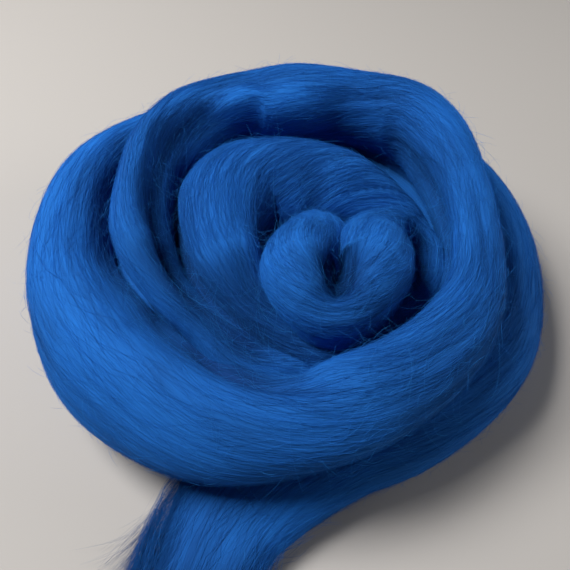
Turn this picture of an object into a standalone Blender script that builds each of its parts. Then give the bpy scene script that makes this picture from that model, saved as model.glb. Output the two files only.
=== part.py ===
"""A nest of wool roving: one long, soft rope of combed fibre, wound clockwise from a looped heart
into a loose spiral, with its outer end trailing off over the table as a feathered wisp.

Frame: metres, +Z up, origin at the centre of the nest's flat foot. The loose end trails to -Y.
The rope is written down in millimetres, as one row for each place where it changes.
"""

import math
import random
from collections import namedtuple

import bmesh
import bpy
from mathutils import Matrix, Vector

MM = 0.001

# A row of the rope: x, y and z place the level where it is widest, width is across it there, and
# rise and drop are how far it reaches above and below that level.
Section = namedtuple("Section", "x y z width rise drop")

# How far the turns that lie on the table would reach through it, were it not there.
PRESS = 2

# The inner end is tucked under the first turn. It comes out as a loop with two short arms, crosses
# over to the right and runs down as a thin strand.
HEART = (
    Section(13, -11, 43, 30, 12, 12),
    Section(11.5, -24, 50, 32, 14, 16),
    Section(5, -43, 57, 28, 16, 18),
    Section(18, -56, 53, 28, 16, 18),
    Section(33, -43, 57, 28, 16, 18),
    Section(34, -27, 54, 26, 14, 16),
    Section(46, -14, 47, 16, 12, 14),
    Section(57.5, -18, 39, 13, 13, 16),
    Section(60, -32, 33, 14, 14, 16),
    Section(49, -47, 30, 18, 14, 16),
    Section(25, -60, 31, 26, 15, 16),
)
INNER_TURN = (
    Section(-3, -56, 36, 33, 18, 18),
    Section(-20, -41, 43, 38, 20, 20),
    Section(-28, -16, 47, 42, 21, 22),
    Section(-21, 11, 48, 48, 21, 22),
    Section(2, 22, 47, 54, 21, 22),
    Section(27, 18.5, 45, 43, 20, 20),
    Section(46, 5, 40, 30, 18, 20),
    Section(60, -12, 34, 26, 16, 18),
    Section(54, -38, 28, 26, 15, 16),
    Section(25, -58, 25, 30, 16, 16),
    Section(-8, -64, 28, 30, 17, 18),
)
UPPER_TURN = (
    Section(-31, -53, 38, 21, 17, 18),
    Section(-46, -41, 45, 21, 19, 20),
    Section(-57, -22, 50, 24, 20, 20),
    Section(-59, 2, 54, 24, 21, 20),
    Section(-56, 27, 56, 26, 20, 20),
    Section(-44, 50, 57, 29, 18, 20),
    Section(-28, 63, 57, 27, 17, 20),
    Section(-14, 69, 54.5, 34, 19, 20),
    Section(6, 71, 55, 35, 21, 20),
    Section(33, 68, 55.5, 28, 19, 20),
    Section(57.5, 56, 55.5, 29, 20, 20),
    Section(67, 29, 56.5, 31, 22, 20),
    Section(71, -2, 56, 26, 20, 20),
    Section(71, -28, 53, 25, 19, 20),
    Section(68, -50.5, 49, 30, 18, 20),
    Section(53, -69, 45, 34, 18, 20),
    Section(32, -82, 41, 36, 18, 20),
    Section(6, -89, 36, 40, 18, 20),
)
LOWER_TURN = (
    Section(-22, -86, 33, 50, 19, 24),
    Section(-45.5, -72.5, 30, 56, 22, 28),
    Section(-67, -53, 28, 57, 23, 28 + PRESS),
    Section(-85, -22, 27, 48, 23, 27 + PRESS),
    Section(-89, 17, 28, 44, 23, 28 + PRESS),
    Section(-80, 50, 28, 42, 22, 28 + PRESS),
    Section(-48, 76, 27, 38, 20, 27 + PRESS),
    Section(3, 84, 26, 38, 20, 26 + PRESS),
    Section(54, 74, 25, 38, 20, 25 + PRESS),
    Section(85, 47, 23, 38, 20, 23 + PRESS),
    Section(96, 13, 21, 38, 19, 21 + PRESS),
    Section(93, -22, 20, 38, 18, 20 + PRESS),
    Section(81, -52, 19, 38, 18, 19 + PRESS),
    Section(63, -71, 18, 36, 17, 18 + PRESS),
    Section(42, -84, 16, 36, 16, 16 + PRESS),
    Section(20, -90, 13, 40, 13, 13 + PRESS),
)
LOOSE_END = (
    Section(-3, -99, 10, 46, 10, 10 + PRESS),
    Section(-18, -110, 8, 46, 8, 8 + PRESS),
    Section(-26, -122, 6, 43, 7, 6 + PRESS),
    Section(-31, -135, 5, 40, 6, 5 + PRESS),
    Section(-36, -149, 4, 36, 5, 4 + PRESS),
)
ROUTE = HEART + INNER_TURN + UPPER_TURN + LOWER_TURN + LOOSE_END
NEST_LAST, END_FIRST, END_LAST = len(ROUTE) - 3, len(ROUTE) - len(LOOSE_END) - 1, len(ROUTE) - 1

# Long furrows where the rope is twisted or folds on itself. first and last are places along the
# route, and the furrow's bottom goes from one angle round the rope to the other, in degrees. Where
# the depth is negative it is a swelling.
Furrow = namedtuple("Furrow", "first last angle_first angle_last width depth")
FURROWS = (
    Furrow(21.4, 28.1, 120, 142, 34, 7),
    Furrow(20.8, 23.8, 80, 110, 60, 5),
    Furrow(38.2, 41.2, 75, 160, 18, 5),
    Furrow(40.0, 46.8, 165, 150, 52, 10),
    Furrow(21.4, 27.6, 340, 335, 32, 6),
    Furrow(28.0, 30.8, 125, 140, 44, -4),
    Furrow(29.6, 31.8, 200, 200, 34, 4),
    Furrow(30.4, 33.4, 172, 172, 44, 8),
    Furrow(33.8, 37.4, 178, 172, 30, 6),
    Furrow(35.0, 38.3, 55, 70, 80, 3),
    Furrow(34.0, 36.2, 90, 70, 18, 1.5),
    Furrow(36.4, 41.0, 165, 160, 26, 6),
    Furrow(11.2, 15.8, 16, 16, 22, 3),
    Furrow(10.4, 13.6, 25, 20, 40, 6),
    Furrow(15.0, 18.4, 28, 34, 34, 8),
    Furrow(14.4, 17.6, 160, 165, 45, -5),
    Furrow(17.2, 21.0, 100, 100, 50, 9),
    Furrow(2.2, 3.9, 45, 45, 46, 10),
)

# Rings of faces from one row to the next, and faces round a ring.
NEST_STEPS, NEST_SIDES = 5, 36
END_STEPS, END_SIDES = 3, 52

# Soft lobes that wind slowly round the rope, as a share of its thickness, and their turn per row.
LOBES, LOBE_DEPTH, LOBE_TURN = 4, 0.03, 0.8

# How far on each side, in rows, the rope's heading is read.
LOOK = 0.05

# The turns buried under the nest are one disc that the turns in sight sink into.
BURIED_RADIUS, BURIED_TOP, BURIED_SIDES = 80, 34, 48

# The fused turns are rounded off at this pitch, and this share of the faces is kept.
FUSE_PITCH = 3.0
FACES_KEPT = 0.22

# The loose end parts from the nest on an upright plane just outside the turn that lies over it.
PARTING_Y = -110
PARTING_GAP = 0.3
CUTTER_REACH = 150
END_CUTTER_TOP = 22

# Feathered locks are drawn out in stages: how far along each stage is, and how thick it is there.
LOCK_STAGES = ((0.25, 0.78), (0.5, 0.55), (0.75, 0.33), (1.0, 0.12))
WISP_SEED = 5
TIP_LENGTHS, TIP_SPREAD, TIP_CURL, TIP_WAVES = (26, 50), 15, 16, 3
EDGE_LENGTHS, EDGE_SPREAD, EDGE_FIRST, EDGE_EVERY = (20, 30), 9, 3, 2
STEEPEST_EDGE = 0.4

ROVING_COLOUR = (0.012, 0.085, 0.36, 1)
LOOSE_COLOUR = (0.016, 0.1, 0.4, 1)
WOOL_ROUGHNESS = 0.8


def row_at(place):
    """The section at a place along the route: a Catmull-Rom curve through each column."""
    first = min(int(place), len(ROUTE) - 2)
    t = place - first
    nearest = [ROUTE[min(max(first + step, 0), len(ROUTE) - 1)] for step in (-1, 0, 1, 2)]
    return Section(*(
        b + t * (c - a + t * (2 * a - 5 * b + 4 * c - d + t * (3 * b - a - 3 * c + d))) / 2
        for a, b, c, d in zip(*nearest)
    ))


def heading(place):
    """The direction in which the rope runs at a place along the route."""
    before, after = row_at(max(place - LOOK, 0)), row_at(min(place + LOOK, len(ROUTE) - 1))
    return Vector((after.x - before.x, after.y - before.y, after.z - before.z)).normalized()


def furrow_depth(place, angle):
    """How deep the furrows are at a place along the rope and an angle round it, in millimetres."""
    depth = 0
    for furrow in FURROWS:
        share = (place - furrow.first) / (furrow.last - furrow.first)
        if 0 < share < 1:
            bottom = furrow.angle_first + share * (furrow.angle_last - furrow.angle_first)
            off = ((math.degrees(angle) - bottom + 180) % 360 - 180) / furrow.width
            depth += furrow.depth * (1 - (2 * share - 1) ** 4) * math.exp(-off * off)
    return depth


def rope_point(place, angle):
    """A point on the rope's skin: angle 0 is its outer side and a quarter turn is its top."""
    here, along = row_at(place), heading(place)
    outward = Vector((-along.y, along.x, 0)).normalized()
    upward = along.cross(outward)
    if upward.z < 0:
        upward.negate()
    reach = here.rise if math.sin(angle) > 0 else here.drop
    offset = outward * math.cos(angle) * here.width / 2 + upward * math.sin(angle) * reach
    swell = 1 + LOBE_DEPTH * math.cos(LOBES * angle + LOBE_TURN * place)
    dent = offset.normalized() * furrow_depth(place, angle)
    return Vector((here.x, here.y, here.z)) + offset * swell - dent


def wrap_rope(bm, first, last, steps, sides):
    """Rolls a flat grid round a stretch of the route and closes its seam. Its two ends stay open."""
    rings = steps * (last - first)
    grid = bmesh.ops.create_grid(bm, x_segments=sides, y_segments=rings, size=0.5)
    for vert in grid["verts"]:
        angle = 2 * math.pi * (vert.co.x + 0.5 + 0.5 / sides)
        vert.co = rope_point(first + (vert.co.y + 0.5) * (last - first), angle) * MM
    bmesh.ops.remove_doubles(bm, verts=bm.verts, dist=0.001 * MM)


def add_object(name, bm):
    bmesh.ops.recalc_face_normals(bm, faces=bm.faces)
    mesh = bpy.data.meshes.new(name)
    bm.to_mesh(mesh)
    bm.free()
    obj = bpy.data.objects.new(name, mesh)
    bpy.context.scene.collection.objects.link(obj)
    return obj


def wool(name, colour):
    material = bpy.data.materials.new(name)
    material.use_nodes = True
    shader = material.node_tree.nodes["Principled BSDF"]
    shader.inputs["Base Color"].default_value = colour
    shader.inputs["Roughness"].default_value = WOOL_ROUGHNESS
    shader.inputs["Metallic"].default_value = 0
    return material


def box_cutter(name, low, high):
    """A guide that is cut away from other solids, from its lowest to its highest corner."""
    size = Vector(high) - Vector(low)
    middle = (Vector(low) + Vector(high)) / 2
    bm = bmesh.new()
    place = Matrix.Translation(middle * MM) @ Matrix.Diagonal((size * MM).to_4d())
    bmesh.ops.create_cube(bm, size=1, matrix=place)
    cutter = add_object(name, bm)
    cutter.hide_render = True
    cutter.display_type = "WIRE"
    return cutter


def cut_away(obj, cutter):
    cut = obj.modifiers.new(cutter.name, "BOOLEAN")
    cut.operation = "DIFFERENCE"
    cut.object = cutter


def wound_roving():
    """The nest: the rope's turns and what is buried under them, fused, and flat where they rest."""
    bm = bmesh.new()
    wrap_rope(bm, 0, NEST_LAST, NEST_STEPS, NEST_SIDES)
    bmesh.ops.holes_fill(bm, edges=bm.edges, sides=0)
    middle = Matrix.Translation((0, 0, (BURIED_TOP - PRESS) / 2 * MM))
    bmesh.ops.create_cone(
        bm, cap_ends=True, segments=BURIED_SIDES, radius1=BURIED_RADIUS * MM, radius2=BURIED_RADIUS * MM,
        depth=(BURIED_TOP + PRESS) * MM, matrix=middle,
    )
    nest = add_object("wound_roving", bm)
    fuse = nest.modifiers.new("fuse", "REMESH")
    fuse.mode = "VOXEL"
    fuse.voxel_size = FUSE_PITCH * MM
    fuse.use_smooth_shade = True
    thin = nest.modifiers.new("thin", "DECIMATE")
    thin.ratio = FACES_KEPT
    far = CUTTER_REACH
    cut_away(nest, box_cutter("table", (-far, -far, -far), (far, far, 0)))
    beyond = box_cutter("loose_side", (-far / 2, PARTING_Y - far, -far), (far / 2, PARTING_Y, END_CUTTER_TOP))
    cut_away(nest, beyond)
    nest.data.materials.append(wool("roving", ROVING_COLOUR))
    return nest


def draw_lock(bm, face, along, length, curl):
    """Pulls a tapered lock out of a face, curling sideways by some degrees, and lays it on the table."""
    root = face.calc_center_median()
    corners = [vert.co.copy() for vert in face.verts]
    middle, done = root, 0
    for share, thickness in LOCK_STAGES:
        face = bmesh.ops.extrude_discrete_faces(bm, faces=[face])["faces"][0]
        middle = middle + turned(along, curl * share) * (length * (share - done) * MM)
        done = share
        for vert, corner in zip(face.verts, corners):
            vert.co = middle + (corner - root) * thickness
            vert.co.z = corner.z * thickness * (1 - share / 2)


def turned(along, degrees):
    """A heading laid level with the table and turned by some degrees."""
    level = Vector((along.x, along.y, 0)).normalized()
    return Matrix.Rotation(math.radians(degrees), 3, "Z") @ level


def close_far_end(bm):
    """Closes the far end with faces that stand side by side, each from the rope's top to its underside."""
    far_level = ROUTE[-1].z * MM
    rim = [edge for edge in bm.edges if edge.is_boundary]
    over = [edge for edge in rim if min(vert.co.z for vert in edge.verts) > far_level]
    under = [edge for edge in rim if max(vert.co.z for vert in edge.verts) < far_level]
    return bmesh.ops.bridge_loops(bm, edges=over + under)["faces"]


def feather(bm, end_faces):
    """Draws locks out of the far end, in a waving fan, and a few out of the edge on its left."""
    rng = random.Random(WISP_SEED)
    along = heading(END_LAST)
    left = Vector((-along.y, along.x, 0)).normalized() * -1
    end_middle, half = Vector((ROUTE[-1].x, ROUTE[-1].y, 0)) * MM, ROUTE[-1].width / 2 * MM
    places = [END_FIRST + step / END_STEPS for step in range(END_STEPS * len(LOOSE_END))]
    edge_faces = [
        face for face in bm.faces
        if face not in end_faces and abs(face.normal.z) < STEEPEST_EDGE and face.normal.dot(left) > 0
        and face.calc_center_median().y < PARTING_Y * MM
    ]
    for face in end_faces:
        across = (face.calc_center_median() - end_middle).dot(left) / half
        curl = TIP_CURL * math.sin(TIP_WAVES * across)
        draw_lock(bm, face, turned(along, -across * TIP_SPREAD), rng.uniform(*TIP_LENGTHS), curl)
    for face in edge_faces[EDGE_FIRST::EDGE_EVERY]:
        middle = face.calc_center_median() / MM
        place = min(places, key=lambda place: abs(row_at(place).y - middle.y))
        draw_lock(bm, face, turned(heading(place), -EDGE_SPREAD), rng.uniform(*EDGE_LENGTHS), EDGE_SPREAD)


def loose_end():
    """The rope's outer end: a flattened tongue that lies on the table and feathers out in locks."""
    bm = bmesh.new()
    wrap_rope(bm, END_FIRST, END_LAST, END_STEPS, END_SIDES)
    for vert in bm.verts:
        vert.co.z = max(vert.co.z, 0)
    near_rim = [vert for vert in bm.verts if vert.is_boundary and vert.co.y > PARTING_Y * MM]
    bmesh.ops.contextual_create(bm, geom=near_rim)
    end_faces = close_far_end(bm)
    bmesh.ops.recalc_face_normals(bm, faces=bm.faces)
    feather(bm, end_faces)
    wisp = add_object("loose_end", bm)
    low = (-CUTTER_REACH, PARTING_Y - PARTING_GAP, -CUTTER_REACH)
    cut_away(wisp, box_cutter("nest_side", low, (CUTTER_REACH, CUTTER_REACH, CUTTER_REACH)))
    wisp.data.materials.append(wool("loose_roving", LOOSE_COLOUR))
    return wisp


def main():
    for obj in list(bpy.data.objects):
        bpy.data.objects.remove(obj)
    wound_roving()
    loose_end()


if __name__ == "__main__":
    main()
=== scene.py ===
"""The looks of a nest of wool roving: its wound rope, the combed fibres on each turn, the strays
that bridge its creases, and the loose end that lies on the table.

Frame: metres, as the solids. The rope is written down in millimetres, as one row for each place
where it changes.
"""

import math
from collections import namedtuple

import bmesh
import bpy
import numpy as np
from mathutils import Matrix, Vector
from mathutils.bvhtree import BVHTree


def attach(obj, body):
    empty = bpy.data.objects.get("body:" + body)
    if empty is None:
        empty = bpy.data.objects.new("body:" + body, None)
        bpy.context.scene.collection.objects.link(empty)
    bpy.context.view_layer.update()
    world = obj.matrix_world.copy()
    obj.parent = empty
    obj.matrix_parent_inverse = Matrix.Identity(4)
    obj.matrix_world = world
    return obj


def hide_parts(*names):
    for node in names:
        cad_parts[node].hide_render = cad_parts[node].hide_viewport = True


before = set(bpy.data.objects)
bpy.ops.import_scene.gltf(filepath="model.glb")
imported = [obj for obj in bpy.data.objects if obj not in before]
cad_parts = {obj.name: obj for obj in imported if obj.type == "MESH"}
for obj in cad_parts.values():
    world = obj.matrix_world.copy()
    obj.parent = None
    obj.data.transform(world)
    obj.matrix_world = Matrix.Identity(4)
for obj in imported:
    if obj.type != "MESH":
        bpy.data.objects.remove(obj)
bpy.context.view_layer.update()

bl_info = {
    "name": "Nest of wool roving",
    "version": (1, 0, 0),
    "blender": (4, 5, 0),
    "location": "View3D > Sidebar > Roving",
    "description": "Dresses a wound nest of wool roving with its combed fibres, strays and loose end",
    "category": "Add Mesh",
}

MM = 0.001
FULL_TURN = 2 * math.pi

# ---------------------------------------------------------------- the rope's route

# x, y and z place the level where the rope is widest, width is across it there, rise and drop are
# how far it reaches above and below that level, and slant is how many degrees its fibres turn
# from its run towards its outer side. What lies on the table is pressed into it by PRESS.
Section = namedtuple("Section", "x y z width rise drop slant")
PRESS = 2

HEART = (
    Section(13, -11, 43, 30, 12, 12, 14),
    Section(11.5, -24, 50, 32, 14, 16, 20),
    Section(5, -43, 57, 28, 16, 18, 20),
    Section(18, -56, 53, 28, 16, 18, 5),
    Section(33, -43, 57, 28, 16, 18, -30),
    Section(34, -27, 54, 26, 14, 16, -34),
    Section(46, -14, 47, 16, 12, 14, -12),
    Section(57.5, -18, 39, 13, 13, 16, 0),
    Section(60, -32, 33, 14, 14, 16, 0),
    Section(49, -47, 30, 18, 14, 16, 0),
    Section(25, -60, 31, 26, 15, 16, 0),
)
INNER_TURN = (
    Section(-3, -56, 36, 33, 18, 18, 0),
    Section(-20, -41, 43, 38, 20, 20, 3),
    Section(-28, -16, 47, 42, 21, 22, 6),
    Section(-21, 11, 48, 48, 21, 22, 14),
    Section(2, 22, 47, 54, 21, 22, 24),
    Section(27, 18.5, 45, 43, 20, 20, 38),
    Section(46, 5, 40, 30, 18, 20, 34),
    Section(60, -12, 34, 26, 16, 18, 20),
    Section(54, -38, 28, 26, 15, 16, 8),
    Section(25, -58, 25, 30, 16, 16, 0),
    Section(-8, -64, 28, 30, 17, 18, 0),
)
UPPER_TURN = (
    Section(-31, -53, 38, 21, 17, 18, 0),
    Section(-46, -41, 45, 21, 19, 20, 2),
    Section(-57, -22, 50, 24, 20, 20, 4),
    Section(-59, 2, 54, 24, 21, 20, 6),
    Section(-56, 27, 56, 26, 20, 20, 8),
    Section(-44, 50, 57, 29, 18, 20, 8),
    Section(-28, 63, 57, 27, 17, 20, 4),
    Section(-14, 69, 54.5, 34, 19, 20, 0),
    Section(6, 71, 55, 35, 21, 20, 2),
    Section(33, 68, 55.5, 28, 19, 20, 8),
    Section(57.5, 56, 55.5, 29, 20, 20, 12),
    Section(67, 29, 56.5, 31, 22, 20, 8),
    Section(71, -2, 56, 26, 20, 20, 4),
    Section(71, -28, 53, 25, 19, 20, 2),
    Section(68, -50.5, 49, 30, 18, 20, -2),
    Section(53, -69, 45, 34, 18, 20, -8),
    Section(32, -82, 41, 36, 18, 20, -13),
    Section(6, -89, 36, 40, 18, 20, -17),
)
LOWER_TURN = (
    Section(-22, -86, 33, 50, 19, 24, -18),
    Section(-45.5, -72.5, 30, 56, 22, 28, -10),
    Section(-67, -53, 28, 57, 23, 28 + PRESS, -2),
    Section(-85, -22, 27, 48, 23, 27 + PRESS, 0),
    Section(-89, 17, 28, 44, 23, 28 + PRESS, 3),
    Section(-80, 50, 28, 42, 22, 28 + PRESS, 4),
    Section(-48, 76, 27, 38, 20, 27 + PRESS, 2),
    Section(3, 84, 26, 38, 20, 26 + PRESS, 2),
    Section(54, 74, 25, 38, 20, 25 + PRESS, 2),
    Section(85, 47, 23, 38, 20, 23 + PRESS, 0),
    Section(96, 13, 21, 38, 19, 21 + PRESS, 0),
    Section(93, -22, 20, 38, 18, 20 + PRESS, -2),
    Section(81, -52, 19, 38, 18, 19 + PRESS, -4),
    Section(63, -71, 18, 36, 17, 18 + PRESS, -6),
    Section(42, -84, 16, 36, 16, 16 + PRESS, -6),
    Section(20, -90, 13, 40, 13, 13 + PRESS, -4),
)
LOOSE_END = (
    Section(-3, -99, 10, 46, 10, 10 + PRESS, 0),
    Section(-18, -110, 8, 46, 8, 8 + PRESS, 0),
    Section(-26, -122, 6, 43, 7, 6 + PRESS, 0),
    Section(-31, -135, 5, 40, 6, 5 + PRESS, 0),
    Section(-36, -149, 4, 36, 5, 4 + PRESS, 0),
)
TIP = (
    Section(-41, -163, 3, 31, 3.5, 3 + PRESS, 0),
    Section(-46, -176, 2, 24, 2, 2 + PRESS, 0),
)
ROUTE = np.array(HEART + INNER_TURN + UPPER_TURN + LOWER_TURN + LOOSE_END + TIP, dtype=float)
PLACE, WIDTH, RISE, DROP, SLANT = slice(0, 3), 3, 4, 5, 6
LAST = len(ROUTE) - 1
# The nest's rope ends just inside the body of the loose end, which starts a little before there.
NEST_LAST = len(ROUTE) - len(TIP) - 3
ROPE_LAST, WISP_FIRST = NEST_LAST - 1.2, NEST_LAST - 1.4

# Long furrows where the rope is twisted or folds on itself. first and last are places along the
# route, and the furrow's bottom goes from one angle round the rope to the other, in degrees. A
# depth below zero makes a swelling.
Furrow = namedtuple("Furrow", "first last angle_first angle_last width depth")
FURROWS = (
    Furrow(21.4, 28.1, 122, 144, 30, 6),
    Furrow(20.6, 23.8, 80, 110, 56, 8),
    Furrow(9.8, 12.4, 90, 90, 70, 6),
    Furrow(11.2, 13.8, 168, 168, 22, 5),
    Furrow(38.4, 42.0, 128, 128, 34, 6),
    Furrow(38.2, 41.2, 75, 160, 18, 5),
    Furrow(40.0, 46.8, 165, 150, 52, 10),
    Furrow(41.4, 47.4, 66, 66, 34, -4),
    Furrow(43.5, 48.2, 132, 134, 34, 6),
    Furrow(21.4, 27.6, 340, 335, 32, 6),
    Furrow(26.9, 30.8, 105, 112, 26, 3),
    Furrow(27.0, 31.0, 146, 152, 34, -7),
    Furrow(31.8, 35.6, 190, 182, 56, 7),
    Furrow(34.6, 37.4, 178, 172, 30, 6),
    Furrow(35.0, 38.3, 55, 70, 80, 3),
    Furrow(34.0, 36.2, 90, 70, 18, 1.5),
    Furrow(36.4, 41.0, 165, 160, 26, 6),
    Furrow(11.2, 15.8, 16, 16, 22, 3),
    Furrow(10.4, 13.6, 25, 20, 40, 6),
    Furrow(14.2, 18.4, 26, 34, 38, 11),
    Furrow(15.4, 18.2, 160, 165, 45, -3),
    Furrow(17.2, 21.0, 100, 100, 50, 9),
    Furrow(2.0, 4.1, 45, 45, 46, 12),
    Furrow(2.5, 3.6, 82, 82, 56, 7),
)
# The rope bulges a little in a few places round it, which turn on their way along the route.
LOBES, LOBE_DEPTH, LOBE_TURN = 4, 0.03, 0.8
# How far to each side of a place the rope's run is read, in places, and how many times the route
# is measured for each of its rows.
LOOK, MEASURES = 0.05, 40
# Painted shade: how much the wool is painted darker for each millimetre of a furrow's depth, the
# depth at which it is neither darker nor brighter (shallower ground and swellings are painted
# lighter), and how far it can go either way.
PAINTED_HOLLOW_SHADE, HOLLOW_FREE, HOLLOW_LIMIT = 0.05, 2.5, 0.45
# How the body of the loose end changes: over how many places it does, how many millimetres it
# stops short of its left edge, where only single fibres reach, how much painted shade darkens it,
# and over how many places it narrows to a round end.
LOOSE_CHANGE, SOFT_EDGE, LOOSE_PAINTED_SHADE, ROUND_END = 2, 5, 0.3, 2.2

# Ridges that run with the fibres: how many fit round the rope, how many change along the route,
# and how high they are in millimetres.
Ridges = namedtuple("Ridges", "seed around along height")
RIDGES = (
    Ridges(3, 14, 46, 0.6),
    Ridges(4, 34, 60, 0.28),
    Ridges(5, 80, 90, 0.1),
)

ROPE_STEPS, ROPE_SIDES = 8, 96
# The radius of the round rope that carries the streaks, in millimetres.
STREAK_RADIUS = 21


def soft_noise(seed, around, along, angles, places):
    """Smooth random values from -1 to 1 that close up round the rope and change along it."""
    grid = np.random.default_rng(seed).uniform(-1, 1, (around, along + 3))
    u = np.mod(angles / FULL_TURN, 1) * around
    v = np.clip(places / (LAST), 0, 1) * along
    i, j = np.floor(u).astype(int), np.floor(v).astype(int)
    s, t = u - i, v - j
    s, t = s * s * (3 - 2 * s), t * t * (3 - 2 * t)
    i, i_next = i % around, (i + 1) % around
    low = grid[i, j] * (1 - s) + grid[i_next, j] * s
    high = grid[i, j + 1] * (1 - s) + grid[i_next, j + 1] * s
    return low * (1 - t) + high * t


def section_at(places):
    """The rope's columns at places along the route: a Catmull-Rom curve through each column."""
    places = np.clip(places, 0, LAST)
    first = np.minimum(places.astype(int), LAST - 1)
    t = (places - first)[..., None]
    a, b, c, d = (ROUTE[np.clip(first + step, 0, LAST)] for step in (-1, 0, 1, 2))
    return b + t * (c - a + t * (2 * a - 5 * b + 4 * c - d + t * (3 * b - a - 3 * c + d))) / 2


def unit(vectors):
    """The same ways, each of them one long."""
    return vectors / np.maximum(np.linalg.norm(vectors, axis=-1, keepdims=True), 1e-9)


def girth_radius(rows):
    """The radius of a round rope of about the same girth, in millimetres."""
    return (rows[..., WIDTH] / 2 + (rows[..., RISE] + rows[..., DROP]) / 2) / 2


def run_of(places):
    """The direction in which the rope runs, the way to its outer side, and the way up from it."""
    along = unit(section_at(places + LOOK)[..., PLACE] - section_at(places - LOOK)[..., PLACE])
    outward = unit(np.stack((-along[..., 1], along[..., 0], 0 * along[..., 0]), axis=-1))
    upward = np.cross(along, outward)
    return along, outward, upward * np.where(upward[..., 2:] < 0, -1, 1)


def furrow_depth(places, angles):
    """How deep the furrows are at places along the rope and angles round it, in millimetres."""
    depth = np.zeros(np.shape(places))
    for furrow in FURROWS:
        share = np.clip((places - furrow.first) / (furrow.last - furrow.first), 0, 1)
        bottom = furrow.angle_first + share * (furrow.angle_last - furrow.angle_first)
        off = (np.mod(np.degrees(angles) - bottom + 180, 360) - 180) / furrow.width
        depth += furrow.depth * (1 - (2 * share - 1) ** 4) ** 2 * np.exp(-off * off)
    return depth


def painted_hollow_shade(places, angles):
    """How much painted shade darkens a furrow, or painted light brightens a swelling."""
    shade = PAINTED_HOLLOW_SHADE * (HOLLOW_FREE - furrow_depth(places, angles))
    return np.clip(shade, -HOLLOW_LIMIT, HOLLOW_LIMIT)


def measured_route():
    """The rope's length and the fibres' turn round it, from its inner end to many places along it."""
    places = np.linspace(0, LAST, MEASURES * len(ROUTE))
    rows = section_at(places)
    steps = np.linalg.norm(np.diff(rows[:, PLACE], axis=0), axis=1)
    length = np.concatenate(((0,), np.cumsum(steps)))
    rate = np.tan(np.radians(rows[:, SLANT])) / girth_radius(rows)
    turn = np.concatenate(((0,), np.cumsum((rate[1:] + rate[:-1]) / 2 * steps)))
    return places, length, turn


PLACES, LENGTHS, TURNS = measured_route()


def length_at(places):
    """How many millimetres of rope there are up to each place."""
    return np.interp(places, PLACES, LENGTHS)


def place_at(lengths):
    """The place that each length of rope reaches."""
    return np.interp(lengths, LENGTHS, PLACES)


def flow_of(places, angles):
    """The fibre line through each place and angle: it stays the same all along a fibre."""
    return angles + np.interp(places, PLACES, TURNS)


def skin(places, angles, lift=0.0, ridges=RIDGES):
    """Points on the rope's skin, in millimetres, and the way out of it there."""
    places, angles = np.broadcast_arrays(np.asarray(places, float), np.asarray(angles, float))
    here = section_at(places)
    _, outward, upward = run_of(places)
    across, high = np.cos(angles), np.sin(angles)
    reach = np.where(high > 0, here[..., RISE], here[..., DROP])
    offset = outward * (across * here[..., WIDTH] / 2)[..., None] + upward * (high * reach)[..., None]
    swell = 1 + LOBE_DEPTH * np.cos(LOBES * angles + LOBE_TURN * places)
    proud = lift - furrow_depth(places, angles)
    flow = flow_of(places, angles)
    for r in ridges:
        proud = proud + r.height * soft_noise(r.seed, r.around, r.along, flow, places)
    out = unit(offset)
    points = here[..., PLACE] + offset * swell[..., None] + out * np.asarray(proud)[..., None]
    return points, out


# The turns buried under the nest, in millimetres: a bun with a groove under it for each turn. The
# rim is written as shares of the bun's radius and of its height.
RingOfBun = namedtuple("RingOfBun", "radius height")
BUN_RADIUS, BUN_TOP, BUN_TURN, BUN_GROOVE, BUN_SIDES = 80, 34, 22, 4, 96
BUN_FOOT = range(0, 70, 3)
BUN_RIM = (
    (0.9, 0.0), (0.95, 0.04), (0.99, 0.2), (1.0, 0.5), (0.98, 0.8),
    (0.9, 0.97), (0.6, 1.0), (0.3, 1.0), (0.0, 1.0),
)

# ---------------------------------------------------------------- the light and the camera

FLOOR_REACH, FLOOR_ROUGHNESS, SKY_COLOUR = 2.5, 0.75, (0.9, 0.95, 1, 1)
# Soft lights: where each hangs, how wide it is, and its power as a share of the key light's.
Light = namedtuple("Light", "name place size share")
LIGHTS = (
    Light("key_light", (-0.6, 0.13, 0.97), 0.5, 1),
    Light("side_light", (1.1, 0.1, 0.4), 0.6, 0.24),
)
# The camera looks at the origin from this far, so many degrees down, through a lens as long as its
# sensor is wide, in millimetres.
CAMERA_REACH, CAMERA_DOWN, CAMERA_LENS, CAMERA_NEAR = 0.281, 49.4, 36, 0.005


# ---------------------------------------------------------------- sizes and colours to change


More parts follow.
